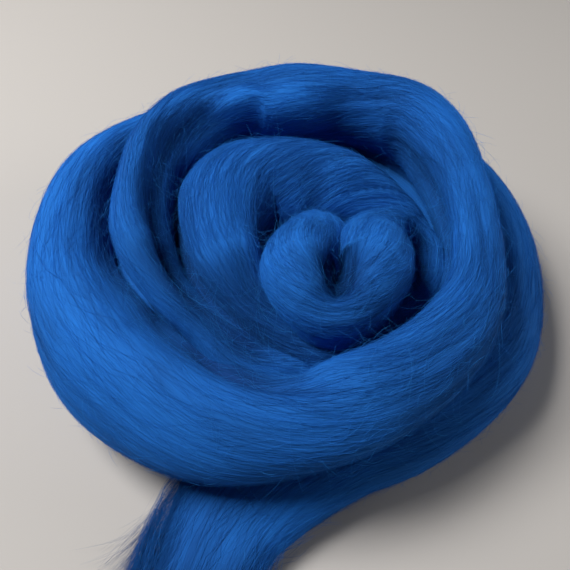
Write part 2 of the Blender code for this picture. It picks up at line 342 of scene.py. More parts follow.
class RovingLooks(bpy.types.PropertyGroup):
    """The wool's colours and how its fibres lie."""

    # Deep and Bright bound the wool's colours. Its own tone lies between them, painted shade in the furrows
    # pushes it towards Deep, and painted light on the swellings pushes it towards Bright.
    deep: bpy.props.FloatVectorProperty(
        name="Deep", description="Wool in the shade of other fibres", subtype="COLOR", size=4,
        min=0, max=1, default=(0.006, 0.045, 0.19, 1),
    )
    bright: bpy.props.FloatVectorProperty(
        name="Bright", description="Wool where a combed fibre catches the light", subtype="COLOR",
        size=4, min=0, max=1, default=(0.016, 0.165, 0.6, 1),
    )
    # Painted light: strays and fuzz are the same wool, painted from Bright up to this lighter colour.
    stray: bpy.props.FloatVectorProperty(
        name="Stray", description="A single fibre with light round it", subtype="COLOR", size=4,
        min=0, max=1, default=(0.03, 0.24, 0.68, 1),
    )
    thickness: bpy.props.FloatProperty(
        name="Fibre Thickness", description="Across a few combed fibres that cling together",
        subtype="DISTANCE", unit="LENGTH", min=0.00002, max=0.001, default=0.00008,
    )
    stray_thickness: bpy.props.FloatProperty(
        name="Stray Thickness", description="Across a single stray fibre", subtype="DISTANCE",
        unit="LENGTH", min=0.00002, max=0.001, default=0.00006,
    )
    staple: bpy.props.FloatProperty(
        name="Staple", description="Length of fibre that shows before it dips into the rope",
        subtype="DISTANCE", unit="LENGTH", min=0.005, max=0.15, default=0.04,
    )
    strays: bpy.props.IntProperty(
        name="Strays", description="Stray fibres over the nest", min=0, max=6000, default=2400,
    )
    fuzz: bpy.props.IntProperty(
        name="Fuzz", description="Short ends that stand off the wool", min=0, max=20000, default=6500,
    )
    loose: bpy.props.IntProperty(
        name="Loose Fibres", description="Fibres along the loose end", min=1, max=6000, default=1800,
    )
    fringe: bpy.props.IntProperty(
        name="Fringe", description="Fibres off the edges of the loose end", min=1, max=6000, default=1200,
    )
    seed: bpy.props.IntProperty(name="Seed", description="Another seed lays every fibre anew", default=7)


class StageLooks(bpy.types.PropertyGroup):
    """The floor and the light."""

    floor: bpy.props.FloatVectorProperty(
        name="Floor", description="Colour of the floor", subtype="COLOR", size=4, min=0, max=1,
        default=(0.5, 0.47, 0.44, 1),
    )
    key: bpy.props.FloatProperty(
        name="Key", description="Power of the soft light above", subtype="POWER", unit="POWER",
        min=0, default=16,
    )
    sky: bpy.props.FloatProperty(
        name="Sky", description="Strength of the even light from all round", min=0, default=0.05,
    )


# ---------------------------------------------------------------- wool

WOOL_FINISH = {
    "Roughness": 0.8, "Metallic": 0, "IOR": 1.5, "Specular IOR Level": 0.08,
    "Sheen Weight": 0.12, "Sheen Roughness": 0.45, "Sheen Tint": (0.05, 0.4, 1, 1),
}
# How fine the streaks are, how much of them is broad, and how far they are drawn out.
STREAK_SCALES, BROAD_SHARE, STREAK_DRAW = {"Fine": 1500, "Broad": 260}, 0.45, (1, 1, 0.045)
STREAK_BUMP = {"Strength": 0.8, "Distance": 0.0006}
DYE_SCALE, DYE_WEIGHT = 28, 0.6
# The shades between which the wool goes from its deep colour to its bright one.
SHADE_RANGE = {"From Min": 0.4, "From Max": 1.2}


def add_node(tree, kind, values=(), **settings):
    """A shader node with its settings, and with values in some of its sockets."""
    node = tree.nodes.new(kind)
    for name, value in settings.items():
        setattr(node, name, value)
    for socket, value in dict(values).items():
        node.inputs[socket].default_value = value
    return node



def combed_streaks():
    """Long, thin streaks that follow the fibres: how bright each is, and how high."""
    name = "Combed streaks"
    if name in bpy.data.node_groups:
        return bpy.data.node_groups[name]
    group = bpy.data.node_groups.new(name, "ShaderNodeTree")
    new_socket = group.interface.new_socket
    new_socket("Flow", in_out="INPUT", socket_type="NodeSocketVector")
    for label, value in STREAK_SCALES.items():
        new_socket(label, in_out="INPUT", socket_type="NodeSocketFloat").default_value = value
    new_socket("Streak", in_out="OUTPUT", socket_type="NodeSocketFloat")
    new_socket("Height", in_out="OUTPUT", socket_type="NodeSocketFloat")
    given = group.nodes.new("NodeGroupInput")
    put = group.nodes.new("NodeGroupOutput")
    drawn = add_node(group, "ShaderNodeVectorMath", operation="MULTIPLY")
    drawn.inputs[1].default_value = STREAK_DRAW
    fine = add_node(group, "ShaderNodeTexNoise", {"Detail": 3, "Roughness": 0.6})
    broad = add_node(group, "ShaderNodeTexNoise", {"Detail": 2, "Roughness": 0.5})
    both = add_node(group, "ShaderNodeMix", {"Factor": BROAD_SHARE}, data_type="FLOAT")
    link = group.links.new
    link(given.outputs["Flow"], drawn.inputs[0])
    for noise, scale in zip((fine, broad), STREAK_SCALES):
        link(drawn.outputs[0], noise.inputs["Vector"])
        link(given.outputs[scale], noise.inputs["Scale"])
    link(fine.outputs["Fac"], both.inputs["A"])
    link(broad.outputs["Fac"], both.inputs["B"])
    link(both.outputs["Result"], put.inputs["Streak"])
    link(fine.outputs["Fac"], put.inputs["Height"])
    return group


def uneven_dye():
    """Soft patches where the dye took a little more or less, as a value round one half."""
    name = "Uneven dye"
    if name in bpy.data.node_groups:
        return bpy.data.node_groups[name]
    group = bpy.data.node_groups.new(name, "ShaderNodeTree")
    new_socket = group.interface.new_socket
    new_socket("Place", in_out="INPUT", socket_type="NodeSocketVector")
    new_socket("Scale", in_out="INPUT", socket_type="NodeSocketFloat").default_value = DYE_SCALE
    new_socket("Dye", in_out="OUTPUT", socket_type="NodeSocketFloat")
    given = group.nodes.new("NodeGroupInput")
    put = group.nodes.new("NodeGroupOutput")
    noise = add_node(group, "ShaderNodeTexNoise", {"Detail": 2, "Roughness": 0.55})
    group.links.new(given.outputs["Place"], noise.inputs["Vector"])
    group.links.new(given.outputs["Scale"], noise.inputs["Scale"])
    group.links.new(noise.outputs["Fac"], put.inputs["Dye"])
    return group


def wool(name, deep, bright, streaked=False):
    """Wool between two colours: by own tone with painted shade, and by streaks where streaked is true."""
    if name in bpy.data.materials:
        return bpy.data.materials[name]
    material = bpy.data.materials.new(name)
    material.use_nodes = True
    tree = material.node_tree
    link = tree.links.new
    shader = tree.nodes["Principled BSDF"]
    for socket, value in WOOL_FINISH.items():
        shader.inputs[socket].default_value = value
    place = add_node(tree, "ShaderNodeTexCoord")
    dye = add_node(tree, "ShaderNodeGroup", node_tree=uneven_dye())
    link(place.outputs["Object"], dye.inputs["Place"])
    shade = add_node(tree, "ShaderNodeAttribute", attribute_type="GEOMETRY", attribute_name="shade")
    value = shade.outputs["Fac"]
    if streaked:
        flow = add_node(tree, "ShaderNodeAttribute", attribute_type="GEOMETRY", attribute_name="flow")
        streaks = add_node(tree, "ShaderNodeGroup", STREAK_SCALES, node_tree=combed_streaks())
        link(flow.outputs["Vector"], streaks.inputs["Flow"])
        both = add_node(tree, "ShaderNodeMath", operation="ADD")
        link(streaks.outputs["Streak"], both.inputs[0])
        link(shade.outputs["Fac"], both.inputs[1])
        value = both.outputs[0]
        bump = add_node(tree, "ShaderNodeBump", STREAK_BUMP)
        link(streaks.outputs["Height"], bump.inputs["Height"])
        link(bump.outputs["Normal"], shader.inputs["Normal"])
    mixed = add_node(tree, "ShaderNodeMath", operation="MULTIPLY_ADD")
    mixed.inputs[1].default_value = DYE_WEIGHT
    link(dye.outputs["Dye"], mixed.inputs[0])
    link(value, mixed.inputs[2])
    ranged = add_node(tree, "ShaderNodeMapRange", SHADE_RANGE)
    link(mixed.outputs[0], ranged.inputs["Value"])
    colours = add_node(tree, "ShaderNodeMix", data_type="RGBA")
    colours.inputs["A"].default_value = deep
    colours.inputs["B"].default_value = bright
    link(ranged.outputs["Result"], colours.inputs["Factor"])
    link(colours.outputs["Result"], shader.inputs["Base Color"])
    return material


# ---------------------------------------------------------------- making pieces


def add_piece(name, mesh, material):
    """A finished piece at the origin, riding on the roving, with the material it is given."""
    obj = bpy.data.objects.new(name, mesh)
    bpy.context.scene.collection.objects.link(obj)
    mesh.materials.append(material)
    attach(obj, "root")
    return obj


def smooth_mesh(name, bm):
    """A closed mesh from a bmesh, with its faces outwards and smooth."""
    bmesh.ops.recalc_face_normals(bm, faces=bm.faces)
    for face in bm.faces:
        face.smooth = True
    mesh = bpy.data.meshes.new(name)
    bm.to_mesh(mesh)
    bm.free()
    return mesh


def loosened(points, places, angles):
    """The loose end's skin: thinner on its way, short of its left edge, and round at its end."""
    growing = np.clip((places - WISP_FIRST) / LOOSE_CHANGE, 0, 1)
    drawn_in = growing * np.clip(-np.cos(angles), 0, 1) ** 2
    _, outward, _ = run_of(places)
    points += outward * (SOFT_EDGE * drawn_in)[:, None]
    points[:, 2] *= 1 - drawn_in / 2
    middle = section_at(places)[:, PLACE]
    width = np.sqrt(np.clip((LAST - places) / ROUND_END, 0.001, 1))[:, None]
    return middle + (points - middle) * width, growing


def rolled_rope(name, first, last, loose=False):
    """Rolls a flat grid round a stretch of the route, closes its seam and both its ends.

    The loose stretch is drawn in, thinned and darkened with painted shade on its way.
    """
    bm = bmesh.new()
    rings = round(ROPE_STEPS * (last - first))
    bmesh.ops.create_grid(bm, x_segments=ROPE_SIDES, y_segments=rings, size=0.5)
    flat = np.array([vert.co for vert in bm.verts])
    angles = FULL_TURN * (flat[:, 0] + 0.5)
    places = first + (flat[:, 1] + 0.5) * (last - first)
    points, _ = skin(places, angles)
    points[:, 2] = np.maximum(points[:, 2], 0)
    # Painted shade: darker in the furrows, lighter on the swellings.
    shades = painted_hollow_shade(places, angles)
    if loose:
        points, growing = loosened(points, places, angles)
        # Painted shade: the loose end grows darker on its way.
        shades -= LOOSE_PAINTED_SHADE * growing
    flow = flow_of(places, angles)
    round_rope = STREAK_RADIUS * np.cos(flow), STREAK_RADIUS * np.sin(flow)
    streak = np.stack((*round_rope, length_at(places)), axis=-1)
    flows, painted_shade_layer = bm.verts.layers.float_vector.new("flow"), bm.verts.layers.float.new("shade")
    for vert, point, at, shade in zip(bm.verts, points * MM, streak * MM, shades):
        vert.co = point
        vert[flows] = at
        vert[painted_shade_layer] = shade
    bmesh.ops.remove_doubles(bm, verts=bm.verts, dist=0.001 * MM)
    bmesh.ops.holes_fill(bm, edges=bm.edges, sides=0)
    return smooth_mesh(name, bm)


def turned_bun(name):
    """The turns buried under the nest: rings one inside the other, closed into one flat bun."""
    bm = bmesh.new()
    waves = [0.5 + 0.5 * math.cos(FULL_TURN * radius / BUN_TURN) for radius in BUN_FOOT]
    foot = [RingOfBun(radius, BUN_GROOVE * wave) for radius, wave in zip(BUN_FOOT, waves)]
    rim = [RingOfBun(at * BUN_RADIUS, height * BUN_TOP) for at, height in BUN_RIM]
    layer = bm.verts.layers.float_vector.new("flow")
    profile = [bm.verts.new((ring.radius * MM, 0, ring.height * MM)) for ring in (*foot, *rim)]
    lines = [bm.edges.new(pair) for pair in zip(profile, profile[1:])]
    for vert in profile:
        vert[layer] = (vert.co.x, vert.co.z, 0)
    bmesh.ops.spin(
        bm, geom=profile + lines, axis=(0, 0, 1), cent=(0, 0, 0), angle=FULL_TURN, steps=BUN_SIDES,
        use_merge=True,
    )
    bmesh.ops.remove_doubles(bm, verts=bm.verts, dist=0.01 * MM)
    return smooth_mesh(name, bm)


# Every fibre is a tube of three sides, whose ends are this share as thick as its middle.
SIDES, THIN_END = 3, 0.3


def fibre_mesh(name, paths, outs, across, shades):
    """Joins thin closed tubes of three sides, one along each path, tapered to both ends.

    paths and outs are millimetres, fibre by fibre and point by point; across is each fibre's
    thickness, and shades is each fibre's brightness: its own tone, with painted shade or painted
    light where the caller adds it.
    """
    count, points = paths.shape[:2]
    along = unit(np.gradient(paths, axis=1))
    side = unit(np.cross(along, outs))
    up = np.cross(side, along)
    taper = THIN_END + (1 - THIN_END) * np.sin(np.linspace(0.0, math.pi, points)) ** 0.6
    reach = (across[:, None] * taper / 2)[..., None]
    corners = [
        paths + reach * (math.cos(turn) * side + math.sin(turn) * up)
        for turn in np.radians((90, 210, 330))
    ]
    verts = np.stack(corners, axis=2).reshape(-1, 3) * MM
    start = (np.arange(count) * points * SIDES)[:, None, None]
    base = start + (np.arange(points - 1) * SIDES)[None, :, None]
    here = np.arange(SIDES)[None, None, :]
    beside = (here + 1) % SIDES
    ring = (base + here, base + SIDES + here, base + SIDES + beside, base + beside)
    quads = np.stack(ring, axis=-1).reshape(-1, 4)
    first_cap = start[:, :, 0] + np.array((0, 1, 2))
    last_cap = start[:, :, 0] + (points - 1) * SIDES + np.array((2, 1, 0))
    caps = np.concatenate((first_cap, last_cap))
    corners_of = np.concatenate((quads.ravel(), caps.ravel())).astype(np.int32)
    sizes = np.concatenate((np.full(len(quads), 4), np.full(len(caps), SIDES)))
    mesh = bpy.data.meshes.new(name)
    mesh.vertices.add(len(verts))
    mesh.vertices.foreach_set("co", verts.astype(np.float32).ravel())
    mesh.loops.add(len(corners_of))
    mesh.loops.foreach_set("vertex_index", corners_of)
    mesh.polygons.add(len(sizes))
    mesh.polygons.foreach_set("loop_start", (np.cumsum(sizes) - sizes).astype(np.int32))
    mesh.update(calc_edges=True)
    mesh.shade_smooth()
    shade = mesh.attributes.new("shade", "FLOAT", "POINT")
    shade.data.foreach_set("value", np.repeat(shades, points * SIDES).astype(np.float32))
    return mesh


def tree_of(obj):
    """A piece's faces, ready to be searched, in millimetres."""
    verts = np.array([vert.co for vert in obj.data.vertices]) / MM
    return BVHTree.FromPolygons(verts.tolist(), [tuple(face.vertices) for face in obj.data.polygons])


def rope_and_solid():
    """The faces of the wound rope and of the solid nest, ready to be searched."""
    return tree_of(bpy.data.objects["wound_rope"]), tree_of(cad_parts["wound_roving"])


# A spot is covered where the way out of it, from COVER_START on, runs for more than COVER_RUN
# through another turn, or where it lies more than BURIED_DEPTH inside the solid nest. Spots lower
# than TABLE_GAP are left bare. All are millimetres.
COVER_START, COVER_RUN, BURIED_DEPTH, TABLE_GAP = 0.9, 1.2, 7, 1


def buried(points, outs, rope, solid):
    """Which points are covered: a turn lies over them, or they are deep inside the solid nest."""
    covered = np.zeros(len(points), bool)
    for n, (point, out) in enumerate(zip(points, outs)):
        start, way = Vector(point), Vector(out)
        hit, normal, _, distance = rope.ray_cast(start + way * COVER_START, way)
        if hit is not None and normal.dot(way) > 0 and distance > COVER_RUN:
            covered[n] = True
            continue
        near, normal, _, distance = solid.find_nearest(start)
        if near is not None and (near - start).dot(normal) > 0 and distance > BURIED_DEPTH:
            covered[n] = True
    return covered


# ---------------------------------------------------------------- combed fibres

# The stretch of rope that each piece of fibres covers, and how many of its fibres show.
Turn = namedtuple("Turn", "piece first last fibres")
TURNS_OF_FIBRE = (
    Turn("fibres_heart", 0, 10.5, 2000),
    Turn("fibres_inner_turn", 10.5, 21.5, 3600),
    Turn("fibres_upper_turn", 21.5, 39.5, 5200),
    Turn("fibres_lower_turn", 39.5, 57, 4800),
)
FIBRE_POINTS = 6
# How far ahead and behind the skin is felt for its run, in places, how far ahead and to a side it
# is felt for its area, in places and radians, and the area for each millimetre of rope past which
# every spot is kept, in millimetres.
RUN_FEEL, AREA_FEEL, FULL_AREA = 0.02, 0.05, 1.6
# Bundles of fibres that cling together, and wider patches of lighter and darker ones: a seed, how
# many fit round the rope, and how many change along the route.
BUNDLES, PATCHES = (11, 150, 110), (12, 40, 80)
# How far fibres stand off the skin, in millimetres: all of them, what their bundle adds, what each
# fibre and each of its points adds, and the least height over the table.
COMBED_LIFT, BUNDLE_LIFT, OWN_LIFT, POINT_LIFT, LOWEST = 0.08, 0.18, 0.07, 0.06, 0.15
# The share of fibres that lies free of the rest, and the share with one end off the skin, each
# with how many millimetres it stands off.
FREE_SHARE, FREE_LIFT, LIFTED_SHARE, LIFTED_END = 0.4, (0.05, 0.5), 0.08, (0.3, 1.4)
# How many degrees fibres turn from the flow and how many millimetres they wave to a side, with
# what is added for the free ones, and the length of a wave.
SPLAY, FREE_SPLAY, WANDER, FREE_WANDER, WAVES = 4, 8, 0.5, 0.9, (14, 42)
# How bright fibres are: in the middle, and what their bundle, their patch and each fibre adds.
MIDDLE_SHADE, BUNDLE_SHADE, PATCH_SHADE, OWN_SHADE = 0.5, 0.2, 0.14, 0.13
# The shortest and longest fibre as shares of the staple, and the thinnest and thickest as shares
# of the thickness.
FIBRE_LENGTHS, FIBRE_WIDTHS = (0.6, 1.35), (0.6, 1.3)


def lay_along(rng, places, angles, lengths, splay, wander, lift):
    """Paths that follow the flow of the wool through each place and angle, and the ways out there.

    splay is how far a fibre may turn from the flow, in degrees, wander how far it waves to a side
    and lift how far it stands off the skin at each of its points, both in millimetres.
    """
    count = len(places)
    here = section_at(places)
    ahead, _ = skin(places + RUN_FEEL, angles, ridges=())
    behind, _ = skin(places - RUN_FEEL, angles, ridges=())
    true_step = np.linalg.norm(ahead - behind, axis=-1)
    route_step = length_at(places + RUN_FEEL) - length_at(places - RUN_FEEL)
    shrink = np.clip(route_step / np.maximum(true_step, 1e-3), 0.3, 3) * np.cos(np.radians(here[:, SLANT]))
    run = np.linspace(-0.5, 0.5, FIBRE_POINTS)[None, :] * lengths[:, None]
    at = place_at(length_at(places)[:, None] + run * shrink[:, None])
    waves, start = rng.uniform(*WAVES, (count, 1)), rng.uniform(0, FULL_TURN, (count, 1))
    aside = run * np.tan(np.radians(rng.normal(0, splay, (count, 1))))
    aside = aside + wander * rng.uniform(0.2, 1, (count, 1)) * np.sin(FULL_TURN * run / waves + start)
    turned = flow_of(places, angles)[:, None] - np.interp(at, PLACES, TURNS)
    return skin(at, turned + aside / girth_radius(here)[:, None], lift)


def spots_in_sight(rng, turn, rope, solid):
    """Places along a turn and angles round it, evenly over the skin that shows."""
    reach = length_at((turn.first, turn.last))
    kept = []
    found = 0
    while found < turn.fibres:
        places = place_at(rng.uniform(*reach, turn.fibres))
        angles = rng.uniform(0, FULL_TURN, turn.fibres)
        middles, outs = skin(places, angles)
        beside, _ = skin(places, angles + AREA_FEEL)
        ahead, _ = skin(places + AREA_FEEL, angles)
        area = np.linalg.norm(np.cross(beside - middles, ahead - middles), axis=-1)
        area /= length_at(places + AREA_FEEL) - length_at(places) + 1e-6
        keep = (rng.uniform(0, FULL_AREA, turn.fibres) < area) & (middles[:, 2] > TABLE_GAP)
        keep[keep] = ~buried(middles[keep], outs[keep], rope, solid)
        kept.append(np.stack((places[keep], angles[keep]), axis=-1))
        found += int(keep.sum())
    return np.concatenate(kept)[:turn.fibres].T


def fibres_of_turn(turn, looks, rope, solid):
    """The combed fibres that show on one turn of the rope, a few of them loose at one end."""
    rng = np.random.default_rng((looks.seed, round(turn.first * 10)))
    places, angles = spots_in_sight(rng, turn, rope, solid)
    count = turn.fibres
    lengths = rng.uniform(*FIBRE_LENGTHS, count) * looks.staple / MM
    flow = flow_of(places, angles)
    bundle = soft_noise(*BUNDLES, flow, places)
    height = COMBED_LIFT + BUNDLE_LIFT * bundle[:, None] + rng.normal(0, OWN_LIFT, (count, 1))
    height = height + rng.normal(0, POINT_LIFT, (count, FIBRE_POINTS))
    free = rng.uniform(size=(count, 1)) < FREE_SHARE
    height = height + free * rng.uniform(*FREE_LIFT, (count, 1))
    lifted = (rng.uniform(size=(count, 1)) < LIFTED_SHARE) * rng.uniform(*LIFTED_END, (count, 1))
    facing = rng.choice((-1, 1), (count, 1))
    height = height + lifted * np.clip(np.linspace(-1, 1, FIBRE_POINTS) * facing, 0, 1) ** 2
    splay, wander = SPLAY + FREE_SPLAY * free, WANDER + FREE_WANDER * free
    paths, outs = lay_along(rng, places, angles, lengths, splay, wander, height)
    paths[..., 2] = np.maximum(paths[..., 2], LOWEST)
    across = looks.thickness / MM * rng.uniform(*FIBRE_WIDTHS, count)
    shades = MIDDLE_SHADE + BUNDLE_SHADE * bundle + PATCH_SHADE * soft_noise(*PATCHES, flow, places)
    # Painted shade in the furrows and painted light on the swellings, as on the rope.
    shades = shades + rng.normal(0, OWN_SHADE, count) + painted_hollow_shade(places, angles)
    return fibre_mesh(turn.piece, paths, outs, across, shades)


# ---------------------------------------------------------------- strays and fuzz

STRAY_POINTS, FUZZ_POINTS = 9, 4
STRAY_SEED, FUZZ_SEED = 999, 404
# How far along the rope strays go, as a share of it, and how far past its top half, in radians.
STRAY_REACH, STRAY_OVER = 0.93, 0.1
# Lengths are millimetres: the form and the scale of their spread, and the shortest and longest.
Lengths = namedtuple("Lengths", "form scale shortest longest")
STRAY_LENGTHS, FUZZ_LENGTHS = Lengths(3, 6, 6, 55), Lengths(4, 1.4, 2.5, 12)
# How many degrees strays and fuzz turn from the flow, how much a stray bends, and how much that
# changes along it.
STRAY_SPREAD, FUZZ_SPREAD, STRAY_BEND, BEND_CHANGE = 38, 40, 1.7, 1.6
# Strays are laid from this high, in millimetres. Past the nest's edge they drop a little, and into
# its creases only so far. Tightened this many times, with this much slack, they bridge a crease,
# and then they are softened.
LAID_FROM, EDGE_DROP, DEEPEST, TIGHTENINGS, SLACK, SOFTENINGS = 200, 2, 14, 12, 0.25, 2
# A stray is left out where this many of its points lie past the nest's edge.
PAST_EDGE = 2
# How far a stray stands off what it lies on, and how far its points waver, in millimetres.
STRAY_LIFT, STRAY_WAVER = (0.2, 1.2), 0.2
# How many degrees fuzz rises from the skin, how far it bows to a side and how much it droops, as
# shares of its length, and how low it may lie, in millimetres.
FUZZ_RISE, FUZZ_BOW, FUZZ_DROOP, FUZZ_LOWEST = (8, 50), 0.3, 0.4, 0.3
# The thinnest and thickest as shares of the stray thickness, and the darkest and brightest.
STRAY_WIDTHS, FUZZ_WIDTHS, STRAY_SHADES, FUZZ_SHADES = (0.7, 1.3), (0.9, 1.5), (0.2, 1), (0.1, 0.8)


def drawn_lengths(rng, lengths, size):
    """Lengths in millimetres, most of them short and a few of them long."""
    return rng.gamma(lengths.form, lengths.scale, size).clip(lengths.shortest, lengths.longest)


def scattered(rng, count, reach, angles_from, angles_to, rope, solid):
    """Spots in sight on the rope, the ways out there, and their places along the route."""
    kept = np.empty((0, 7))
    while len(kept) < count:
        places = place_at(rng.uniform(0, reach, count))
        angles = rng.uniform(angles_from, angles_to, count)
        points, outs = skin(places, angles)
        clear = (points[:, 2] > TABLE_GAP) & ~buried(points, outs, rope, solid)
        kept = np.concatenate((kept, np.column_stack((points, outs, places))[clear]))
    return kept[:count, :3], kept[:count, 3:6], kept[:count, 6]


def curling_paths(rng, spots, headings):
    """Flat paths that curl through the spots, roughly along the headings there."""
    count, middle = len(spots), STRAY_POINTS // 2
    turn = np.arctan2(headings[:, 1], headings[:, 0]) + np.radians(rng.normal(0, STRAY_SPREAD, count))
    lengths = drawn_lengths(rng, STRAY_LENGTHS, count)[:, None]
    even, change = rng.normal(0, 1, (count, 1)), rng.normal(0, BEND_CHANGE, (count, 1))
    curl = STRAY_BEND / lengths * (even + change * np.linspace(-1, 1, STRAY_POINTS))
    step = lengths / (STRAY_POINTS - 1)
    bearing = turn[:, None] + np.cumsum(curl * step, axis=1)
    bearing = bearing - bearing[:, middle][:, None] + turn[:, None]
    flat = np.cumsum(np.stack((np.cos(bearing), np.sin(bearing)), axis=-1) * step[..., None], axis=1)
    return flat - flat[:, middle][:, None] + spots[:, None, :2]


def draped(rng, flat, spots, rope):
    """How high flat paths lie once they are laid over the rope, and how many of their points miss it."""
    level = np.full(flat.shape[:2], np.nan)
    for fibre, path in enumerate(flat):
        for point, (x, y) in enumerate(path):
            hit, _, _, _ = rope.ray_cast(Vector((x, y, LAID_FROM)), Vector((0, 0, -1)))
            if hit is not None:
                level[fibre, point] = hit.z
    missed = np.isnan(level).sum(axis=1)
    middle = level[:, STRAY_POINTS // 2][:, None]
    middle = np.where(np.isnan(middle), spots[:, 2:], middle)
    level = np.where(np.isnan(level), middle - EDGE_DROP, level)
    level = np.maximum(level, middle - DEEPEST)
    held = level.copy()
    for _ in range(TIGHTENINGS):
        between = (held[:, :-2] + held[:, 2:]) / 2 - SLACK
        held[:, 1:-1] = np.maximum(held[:, 1:-1], between)
    taut = rng.uniform(0.1, 1, (len(flat), 1)) ** 0.7
    level = level + (held - level) * taut
    for _ in range(SOFTENINGS):
        level[:, 1:-1] = (level[:, :-2] + 2 * level[:, 1:-1] + level[:, 2:]) / 4
    return level, missed


def stray_fibres(looks, rope, solid):
    """Single curling fibres that lie over the nest and bridge its creases."""
    rng = np.random.default_rng((looks.seed, STRAY_SEED))
    count, reach = looks.strays, LENGTHS[-1] * STRAY_REACH
    spots, _, places = scattered(rng, count, reach, -STRAY_OVER, math.pi + STRAY_OVER, rope, solid)
    along, outward, _ = run_of(places)
    slant = np.radians(section_at(places)[:, SLANT])[:, None]
    flat = curling_paths(rng, spots, along * np.cos(slant) + outward * np.sin(slant))
    level, missed = draped(rng, flat, spots, rope)
    level = level + rng.uniform(*STRAY_LIFT, (count, 1)) + rng.normal(0, STRAY_WAVER, level.shape)
    paths = np.concatenate((flat, level[..., None]), axis=-1)
    outs = np.broadcast_to((0.0, 0.0, 1.0), paths.shape)
    across = looks.stray_thickness / MM * rng.uniform(*STRAY_WIDTHS, count)
    shades = rng.uniform(*STRAY_SHADES, count)
    kept = missed < PAST_EDGE
    return fibre_mesh("strays", paths[kept], outs[kept], across[kept], shades[kept])


def fuzz_fibres(looks, rope, solid):
    """Short, fine ends that stand off the wool all round and soften its outline."""
    rng = np.random.default_rng((looks.seed, FUZZ_SEED))
    count = looks.fuzz
    spots, outs, places = scattered(rng, count, LENGTHS[-1], 0, FULL_TURN, rope, solid)
    along, _, _ = run_of(places)
    turn = np.radians(rng.normal(0, FUZZ_SPREAD, (count, 1))) + math.pi * rng.integers(0, 2, (count, 1))
    way = unit(along * np.cos(turn) + np.cross(outs, along) * np.sin(turn))
    rise = np.radians(rng.uniform(*FUZZ_RISE, (count, 1)))
    length = drawn_lengths(rng, FUZZ_LENGTHS, (count, 1))
    share = np.linspace(0, 1, FUZZ_POINTS)[None, :, None]
    bow = rng.normal(0, FUZZ_BOW, (count, 1, 1)) * share ** 2
    paths = spots[:, None] + way[:, None] * (length * np.cos(rise))[..., None] * share
    paths = paths + outs[:, None] * (length * np.sin(rise))[..., None] * (share - FUZZ_DROOP * share ** 2)
    paths = paths + np.cross(outs, way)[:, None] * length[..., None] * bow
    paths[..., 2] = np.maximum(paths[..., 2], FUZZ_LOWEST)
    across = looks.stray_thickness / MM * rng.uniform(*FUZZ_WIDTHS, count)
    shades = rng.uniform(*FUZZ_SHADES, count)
    return fibre_mesh("fuzz", paths, np.broadcast_to(outs[:, None], paths.shape), across, shades)


# ---------------------------------------------------------------- the loose end's fibres

LOOSE_POINTS, LOOSE_SEED = 7, 55
# Patches of lighter and darker fibres, written as those of the turns.
LOOSE_PATCHES = (21, 60, 30)
# Millimetres: how long the fibres and those of the fringe are, how far they wave to a side, and
# the length of a wave, or of one radian of it in the fringe.
LOOSE_LENGTHS, FRINGE_LENGTHS = (30, 70), (20, 46)
LOOSE_WANDER, FRINGE_WANDER, LOOSE_WAVES, FRINGE_WAVES = (0.2, 1.6), (0.1, 0.9), (16, 50), (3, 8)
# Past this share of the half width the fibres spill over the edge, by so many millimetres.
OUTERMOST, SPILL = 0.8, (0, 4)
# Past the tip the fibres fan out by this share of their way, more or less, bend by this much for
# each millimetre, and sink within so many millimetres.
FAN, FAN_SPREAD, TIP_BEND, SINK = 0.28, 0.1, 0.004, 16
# How much a fibre of the fringe bends for each millimetre, and how low it may lie, in millimetres.
FRINGE_BEND, FRINGE_LOWEST = 0.006, 0.2
# The share of the fringe at the left edge, how far round the edge its roots lie, in radians, and
# how many degrees it swings out.
FRINGE_LEFT, FRINGE_ROUND, FRINGE_SWING = 0.85, (0.02, 0.9), 10
# Painted shade on the loose end: the bright colour of its fibres as a share of the nest's, which
# paints them darker, their shade in the middle, what their patch and each fibre adds, and the
# darkest and brightest of the fringe.
LOOSE_SHADED_BRIGHT, LOOSE_MIDDLE, LOOSE_PATCH, LOOSE_OWN, FRINGE_SHADES = 0.7, 0.42, 0.3, 0.14, (0.2, 0.75)
# The thinnest and thickest as shares of the thickness.
LOOSE_WIDTHS, FRINGE_WIDTHS = (0.7, 1.4), (0.6, 1)


